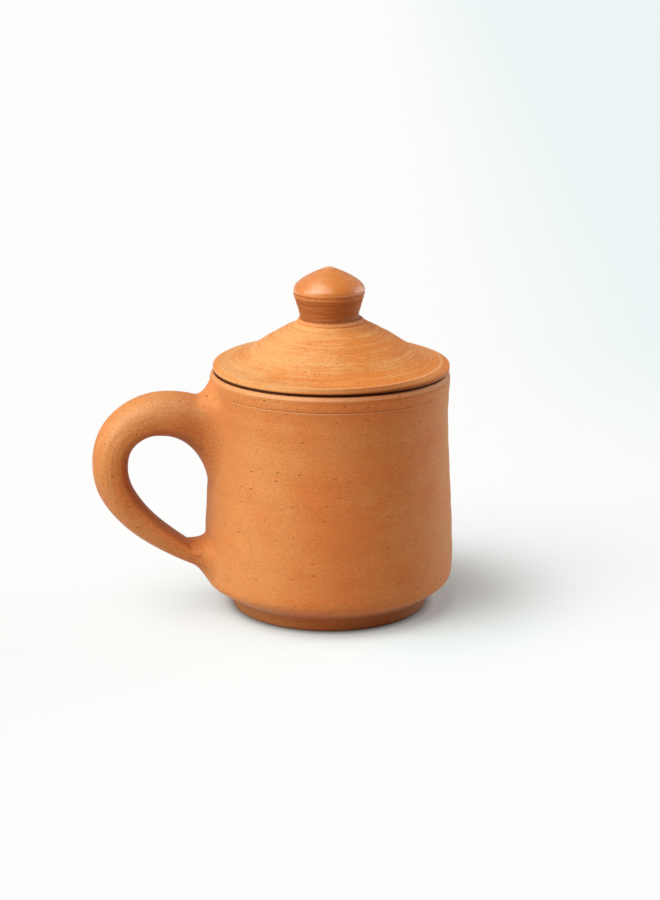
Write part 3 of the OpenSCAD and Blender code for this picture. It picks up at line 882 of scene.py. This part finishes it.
GRIT_MASKS = ("Pits", "Specks", "Grain", "Sand", "Blotch", "Mottle")
grit, grit_in = new_group("clay_grit", {"Position": VECTOR}, dict.fromkeys(GRIT_MASKS, FLOAT))
in_mm = vectors(grit, "MULTIPLY", grit_in[0], PER_METRE)
flatter = vectors(grit, "MULTIPLY", in_mm, FLATTEN)
shifted = vectors(grit, "ADD", in_mm, SHIFT)
large = scattered(grit, flatter, per_mm=0.42, share=0.55, radius=0.15)
small = scattered(grit, flatter, per_mm=0.75, share=0.5, radius=0.14)
add(grit, "NodeGroupOutput", {
    "Pits": maths(grit, "MAXIMUM", large, maths(grit, "MULTIPLY", small, 0.7)),
    "Specks": scattered(grit, shifted, per_mm=0.3, share=0.3, radius=0.07),
    "Grain": noise(grit, in_mm, 1.7, 3.0),
    "Sand": noise(grit, flatter, 2.4, Roughness=0.7),
    "Blotch": noise(grit, flatter, 0.4),
    "Mottle": noise(grit, in_mm, 0.06, 3.0),
})
print("group", grit.name, "has", len(grit.nodes), "nodes")

# %% [markdown]
# The wheel also streaks the clay: finer and coarser slip lie in thin rings. The third number of the mark
# lay runs across these rings, and the other two change slowly along them, so one noise gives rings on the
# turned pieces. On the handle the first two change fast, round the section, so the same noise gives
# lengthwise drags there.

# %% Streak group
streak, streak_in = new_group("clay_streaks", {"Lay": VECTOR}, {"Fine": FLOAT, "Broad": FLOAT})
fine, broad = noise(streak, streak_in[0], 1.5, 3.0), noise(streak, streak_in[0], 0.28)
add(streak, "NodeGroupOutput", {"Fine": fine, "Broad": broad})
print("group", streak.name, "has", len(streak.nodes), "nodes")

# %% [markdown]
# The colour starts from the fired clay and drifts between a redder and a paler tone, with the mottle, the
# blotches, the grain, the streaks and the tone mark, which paints in how the light falls. Sand, red slip
# with the painted bounce glow, pale edges that are wear or painted highlights, specks, pits and painted
# shade come on top of it, in that order. The same masks give the height that the bump reads, in millimetres.
# Where a wet finger closed the grain, the sand and the bump fade, and the surface is less rough.

# %% Clay group
# The redder tone also carries painted bounce light, the pale edge tone painted highlights, and the dark tint
# painted shade.
RED_SLIP_AND_BOUNCE = (0.62, 0.19, 0.04, 1)
WORN_AND_LIT_EDGE = (0.95, 0.62, 0.36, 1)
PALE_GRIT = (0.95, 0.66, 0.4, 1)
PIT_BROWN = (0.30, 0.075, 0.015, 1)
SHADE_AND_JOINT_TINT = (0.3, 0.2, 0.12, 1)
SAND_DARK, SAND_PALE = (0.78, 0.70, 0.64, 1), (1.21, 1.29, 1.35, 1)
MARKS = {"Rub": "rub_and_highlight", "Damp": "deep", "Wet": "wet", "Dark": "dark", "Ash": "tone_and_light"}
CLAY_INPUTS = {"Position": VECTOR, "Lay": VECTOR, "Pale": COLOUR, "Deep": COLOUR}
CLAY_INPUTS.update(dict.fromkeys([*MARKS, "Streaks", "Coarse", "Pitting"], FLOAT))
clay, given = new_group("fired_clay", CLAY_INPUTS, {"Color": COLOUR, "Roughness": FLOAT, "Height": FLOAT})
spots = use_group(clay, grit, {"Position": given["Position"]})
rings = use_group(clay, streak, {"Lay": given["Lay"]})


def times(a, b):
    """Product of two values in the clay group."""
    return maths(clay, "MULTIPLY", a, b)


def swing(value, strength):
    """A noise in the clay group, counted from its middle value of 0.5, times a strength."""
    return times(maths(clay, "SUBTRACT", value, 0.5), strength)


fine_part = swing(rings["Fine"], given["Streaks"])
broad_part = times(swing(rings["Broad"], given["Streaks"]), 0.8)
patches = [remap(clay, spots["Mottle"], 0.2, 0.8), swing(spots["Blotch"], 0.7), swing(spots["Grain"], 0.5)]
drift = summed(clay, patches + [broad_part, fine_part, given["Ash"]], clamp=True)
unpolished = maths(clay, "SUBTRACT", 1.0, times(given["Wet"], 0.85))
hollow = times(spots["Pits"], given["Pitting"])
sandy = times(remap(clay, spots["Sand"], 0.3, 0.7, -0.25, 0.25), given["Coarse"])
sandy = mixed(clay, maths(clay, "ADD", sandy, 0.5), SAND_DARK, SAND_PALE)

colour = mixed(clay, drift, given["Deep"], given["Pale"])
colour = mixed(clay, unpolished, colour, sandy, "MULTIPLY")
colour = mixed(clay, times(given["Damp"], 0.6), colour, RED_SLIP_AND_BOUNCE)
colour = mixed(clay, times(given["Rub"], 0.55), colour, WORN_AND_LIT_EDGE)
colour = mixed(clay, times(spots["Specks"], 0.25), colour, PALE_GRIT)
colour = mixed(clay, hollow, colour, PIT_BROWN)
colour = mixed(clay, given["Dark"], colour, SHADE_AND_JOINT_TINT, "MULTIPLY")
rough = maths(clay, "MULTIPLY_ADD", spots["Grain"], 0.25, 0.55)
rough = maths(clay, "SUBTRACT", rough, times(given["Wet"], 0.4))
raised = [times(spots["Grain"], 0.07), times(spots["Sand"], 0.03), times(fine_part, 0.06)]
lift = summed(clay, raised + [times(hollow, -0.07)])
lift = times(lift, times(unpolished, given["Coarse"]))
add(clay, "NodeGroupOutput", {"Color": colour, "Roughness": rough, "Height": lift})
print("group", clay.name, "has", len(clay.nodes), "nodes")

# %% [markdown]
# ## The finishes
# Each piece has its own material with the clay group in it, because the pieces differ a little: the lid
# dried paler and less pitted, the handle was pulled and not turned, so its drags are strong, and the knob's
# top was burnished with a wet finger. Sheen stands for the dust of the dry surface, which pales it towards
# the edges, and a coat for the burnish, on the knob alone.

# %% Materials
PALE_CLAY, DEEP_CLAY = (0.79, 0.30, 0.082, 1), (0.77, 0.225, 0.047, 1)
PALE_LID, DEEP_LID = (0.87, 0.412, 0.147, 1), (0.80, 0.26, 0.055, 1)
PALE_KNOB, DEEP_KNOB = (0.83, 0.255, 0.026, 1), (0.78, 0.225, 0.022, 1)
DUST_TINT, DUST_ROUGH = (1.0, 0.94, 0.84, 1), 0.4
COAT_ROUGH, COAT_IOR = 0.36, 1.6


def read_mark(tree, mark, output="Fac"):
    """Output of an Attribute node that reads a mark, or 0 where the piece doesn't have it."""
    return add(tree, "ShaderNodeAttribute", attribute_name=mark).outputs[output]


def clay_material(name, pale, deep, streaks, coarse, pitting, gloss, dust, polish):
    """Material of fired clay. pale and deep are its two tones, streaks, coarse and pitting the strengths of
    its streaks, sand and pits, gloss its specular level, dust a sheen that pales its edges, and polish the
    coat where it was rubbed wet. The streaks end where the clay was smeared."""
    material = bpy.data.materials.new(name)
    tree = empty_tree(material)
    marks = {socket: read_mark(tree, mark) for socket, mark in MARKS.items()}
    unsmeared = maths(tree, "SUBTRACT", 1.0, read_mark(tree, "smear"))
    made = use_group(tree, clay, {
        "Position": add(tree, "ShaderNodeTexCoord").outputs["Object"],
        "Lay": read_mark(tree, "lay", "Vector"), **marks, "Pale": pale, "Deep": deep,
        "Streaks": maths(tree, "MULTIPLY", unsmeared, streaks), "Coarse": coarse, "Pitting": pitting,
    })
    bump = add(tree, "ShaderNodeBump", {"Height": made["Height"], "Distance": MM, "Strength": 1.0})
    shader = add(tree, "ShaderNodeBsdfPrincipled", {
        "Base Color": made["Color"], "Roughness": made["Roughness"], "Normal": bump.outputs[0],
        "Specular IOR Level": gloss,
        "Sheen Weight": dust, "Sheen Roughness": DUST_ROUGH, "Sheen Tint": DUST_TINT,
    })
    if polish:
        shader.inputs["Coat Roughness"].default_value = COAT_ROUGH
        shader.inputs["Coat IOR"].default_value = COAT_IOR
        tree.links.new(maths(tree, "MULTIPLY", marks["Wet"], polish), shader.inputs["Coat Weight"])
    add(tree, "ShaderNodeOutputMaterial", {"Surface": shader.outputs[0]})
    return material


# Piece, name, two tones, strengths of streaks, sand and pits, then gloss, dust and polish
FINISHES = [
    (cup, "clay_cup", PALE_CLAY, DEEP_CLAY, 0.9, 1.3, 0.75, 0.45, 0.2, 0.0),
    (handle, "clay_handle", PALE_CLAY, DEEP_CLAY, 3.0, 1.7, 0.75, 0.45, 0.2, 0.0),
    (lid, "clay_lid", PALE_LID, DEEP_LID, 2.8, 1.5, 0.35, 0.22, 0.02, 0.0),
    (knob, "clay_knob", PALE_KNOB, DEEP_KNOB, 3.0, 3.0, 0.2, 0.6, 0.0, 1.4),
]
for piece, *look in FINISHES:
    material = clay_material(*look)
    piece.data.materials.append(material)
    print(piece.name, "wears", material.name)

# %% [markdown]
# ## Joining the frame
# Every new piece rides on the CAD body that it belongs to and stands for the CAD node that it redraws. The
# table also lists the record's material slot for each piece, which nothing here reads.

# %% Ride and replace
JOIN = [
    (cup, "mug", "mug_body", "fired_clay"),
    (handle, "mug", "handle", "fired_clay"),
    (lid, "lid", "lid", "fired_clay_lid"),
    (knob, "lid", "lid_knob", "fired_clay_lid"),
]
for piece, body, node, slot in JOIN:
    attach(piece, body)
    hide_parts(node)
print("pieces joined:", len(JOIN))

# %% [markdown]
# ## Floor and light
# The mug stands on a wide, flat sheet of white paper. Shade is painted into its colour: a painted contact
# shadow in the crevice at the foot's edge, and a cool tint painted into the shade beside the mug. It is cool
# again some way behind the mug on the right. A share of it glows, more and more with the distance, so that
# the paper turns white. Light that bounces on to the clay meets a duller, warmer sheet, which keeps the
# mug's underside dark.

# %% Floor
FLOOR_HALF, FLOOR_Z = 12.0, -0.05 * MM
PAPER_WHITE = (1.0, 1.0, 1.0, 1)
PAPER_NEAR, PAPER_FAR = (0.87, 0.98, 0.99, 1), (0.96, 0.975, 0.985, 1)
PAPER_COOL = (0.845, 0.93, 0.935, 1)
PAPER_BOUNCE = (0.49, 0.385, 0.315, 1)
CREVICE_FROM, CREVICE_TO, CREVICE_SHADE = 0.0325, 0.038, 0.3
LIFT_NEAR, LIFT_FAR = 0.18, 0.65
NEAR_RANGE, LIFT_RANGE = (0.05, 0.13), (0.036, 0.09)
COOL_ASIDE, COOL_BACK, COOL_FADE = (0.03, 0.2), (-0.05, -0.4), (4.5, 2.3)
FIBRES_PER_METRE = 900.0
shade_middle = 0.015 * to_right - 0.004 * to_front

floor_mesh = bpy.data.meshes.new("floor")
corners = np.array([[-1, -1], [1, -1], [1, 1], [-1, 1]]) * FLOOR_HALF
floor_mesh.from_pydata(np.column_stack([corners, np.full(4, FLOOR_Z)]), [], [[0, 1, 2, 3]])
floor = bpy.data.objects.new("floor", floor_mesh)
scene.collection.objects.link(floor)
paper = bpy.data.materials.new("paper")
tree = empty_tree(paper)
place = add(tree, "ShaderNodeTexCoord").outputs["Object"]
away = vectors(tree, "DISTANCE", place, shade_middle, "Value")
rightwards = vectors(tree, "DOT_PRODUCT", place, to_right, "Value")
forwards = vectors(tree, "DOT_PRODUCT", place, to_front, "Value")
from_middle = add(tree, "ShaderNodeVectorMath", {0: place}, operation="LENGTH").outputs["Value"]
cool = maths(tree, "MULTIPLY", remap(tree, rightwards, *COOL_ASIDE), remap(tree, forwards, *COOL_BACK))
cool = maths(tree, "MULTIPLY", cool, remap(tree, away, *COOL_FADE))
# Painted contact shadow at the foot's edge; the near tone below is a cool tint painted into the shade.
painted_contact_shadow = remap(tree, from_middle, CREVICE_FROM, CREVICE_TO, CREVICE_SHADE, 1.0)
fibres = remap(tree, noise(tree, place, FIBRES_PER_METRE), 0.3, 0.7, 0.97, 1.0)
tone = mixed(tree, remap(tree, away, *NEAR_RANGE), PAPER_NEAR, PAPER_FAR)
tone = mixed(tree, 1.0, tone, fibres, "MULTIPLY")
tone = mixed(tree, cool, tone, PAPER_COOL, "MULTIPLY")
tone = mixed(tree, 1.0, tone, painted_contact_shadow, "MULTIPLY")
glow_tone = mixed(tree, cool, PAPER_WHITE, PAPER_COOL, "MULTIPLY")
lifted = maths(tree, "MULTIPLY", painted_contact_shadow, remap(tree, away, *LIFT_RANGE, LIFT_NEAR, LIFT_FAR))
seen = add(tree, "ShaderNodeLightPath").outputs
shown = summed(tree, [seen[f"Is {kind} Ray"] for kind in ("Camera", "Glossy", "Transmission")], clamp=True)
lit = add(tree, "ShaderNodeBsdfDiffuse", {"Color": tone})
glow = add(tree, "ShaderNodeEmission", {"Color": glow_tone})
bright = add(tree, "ShaderNodeMixShader", {0: lifted, 1: lit.outputs[0], 2: glow.outputs[0]})
dull = add(tree, "ShaderNodeBsdfDiffuse", {"Color": PAPER_BOUNCE})
both = add(tree, "ShaderNodeMixShader", {0: shown, 1: dull.outputs[0], 2: bright.outputs[0]})
add(tree, "ShaderNodeOutputMaterial", {"Surface": both.outputs[0]})
floor_mesh.materials.append(paper)
print("floor of", 2 * FLOOR_HALF, "m")

# %% [markdown]
# Four wide Sun lamps light the whole paper evenly and cast soft shadows. The window is low on the left and
# models the wall. The softbox, high on the left of the camera, lights the lid and the front, the skylight
# further round on the left lights the tops, and the reflector low behind on the right opens the shaded
# edge.

# %% Lamps
def sun(name, left, tilt, strength, angle, colour):
    """Sun lamp that shines from left degrees to the left of the camera and tilt degrees above the floor. A
    strength of 1 gives a surface that faces it its own colour."""
    data = bpy.data.lights.new(name, "SUN")
    data.energy = strength * math.pi
    data.angle = math.radians(angle)
    data.color = colour
    lamp = bpy.data.objects.new(name, data)
    lamp.rotation_euler = (math.radians(90 - tilt), 0.0, CAMERA_TURN - math.radians(left))
    scene.collection.objects.link(lamp)


sun("window", left=63.0, tilt=28.0, strength=0.60, angle=52.0, colour=(0.92, 1.0, 0.98))
sun("softbox", left=40.0, tilt=60.0, strength=0.467, angle=46.0, colour=(1.0, 0.93, 0.87))
sun("skylight", left=102.0, tilt=65.0, strength=0.18, angle=25.0, colour=(1.0, 0.95, 0.9))
sun("reflector", left=-117.0, tilt=7.0, strength=0.57, angle=46.0, colour=(0.92, 0.98, 1.0))

# %% [markdown]
# The world is the rest of the studio. The camera sees it as white as the far paper. To the clay it gives
# only a dim, warm light, and highlights mirror a part of it, most from the backdrop behind the mug.

# %% World
WORLD_DIM, DIM_STRENGTH = (1.0, 0.96, 0.92, 1), 0.09
WORLD_WHITE = (0.982, 0.982, 0.974, 1)
BACKDROP_GLOSS, STUDIO_GLOSS = 0.4, 0.09
world = bpy.data.worlds.new("studio")
tree = empty_tree(world)
seen = add(tree, "ShaderNodeLightPath").outputs
dim = add(tree, "ShaderNodeBackground", {"Color": WORLD_DIM, "Strength": DIM_STRENGTH})
white = add(tree, "ShaderNodeBackground", {"Color": WORLD_WHITE, "Strength": 1.0})
way = add(tree, "ShaderNodeTexCoord").outputs["Generated"]
behind = vectors(tree, "DOT_PRODUCT", way, -to_front, "Value")
gloss = remap(tree, behind, 0.0, 0.8, STUDIO_GLOSS, BACKDROP_GLOSS)
gleam = maths(tree, "MULTIPLY", seen["Is Glossy Ray"], gloss)
shown = maths(tree, "MAXIMUM", seen["Is Camera Ray"], gleam)
view = add(tree, "ShaderNodeMixShader", {0: shown, 1: dim.outputs[0], 2: white.outputs[0]})
add(tree, "ShaderNodeOutputWorld", {"Surface": view.outputs[0]})
scene.world = world
scene.view_settings.view_transform = "Standard"
print("world:", world.name)
